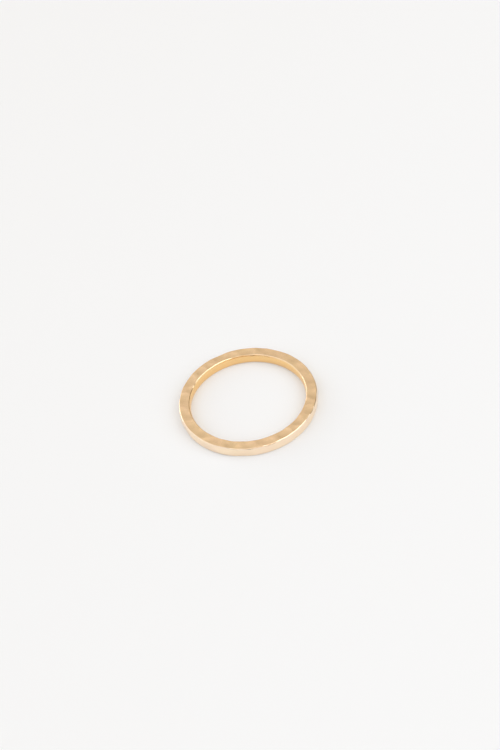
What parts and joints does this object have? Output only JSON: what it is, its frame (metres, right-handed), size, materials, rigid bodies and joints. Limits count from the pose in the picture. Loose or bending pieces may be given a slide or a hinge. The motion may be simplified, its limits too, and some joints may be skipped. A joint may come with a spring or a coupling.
{
  "type": "stackable ring",
  "caption": "Slim round finger ring with a hammered outside and upper face, a smooth inside and a flat underside.",
  "frame": {"origin": "centre of the band's flat underside, on the finger's axis", "axes": "+Z along the finger's axis, from the flat underside to the hammered upper face; -Y is the side that the picture sees from the front"},
  "size_m": [0.0204, 0.0204, 0.0016],
  "materials": {
    "gold": "polished rose-yellow gold over brass, hammered"
  },
  "bodies": {
    "root": {"ring_band": "gold"}
  },
  "joints": []
}
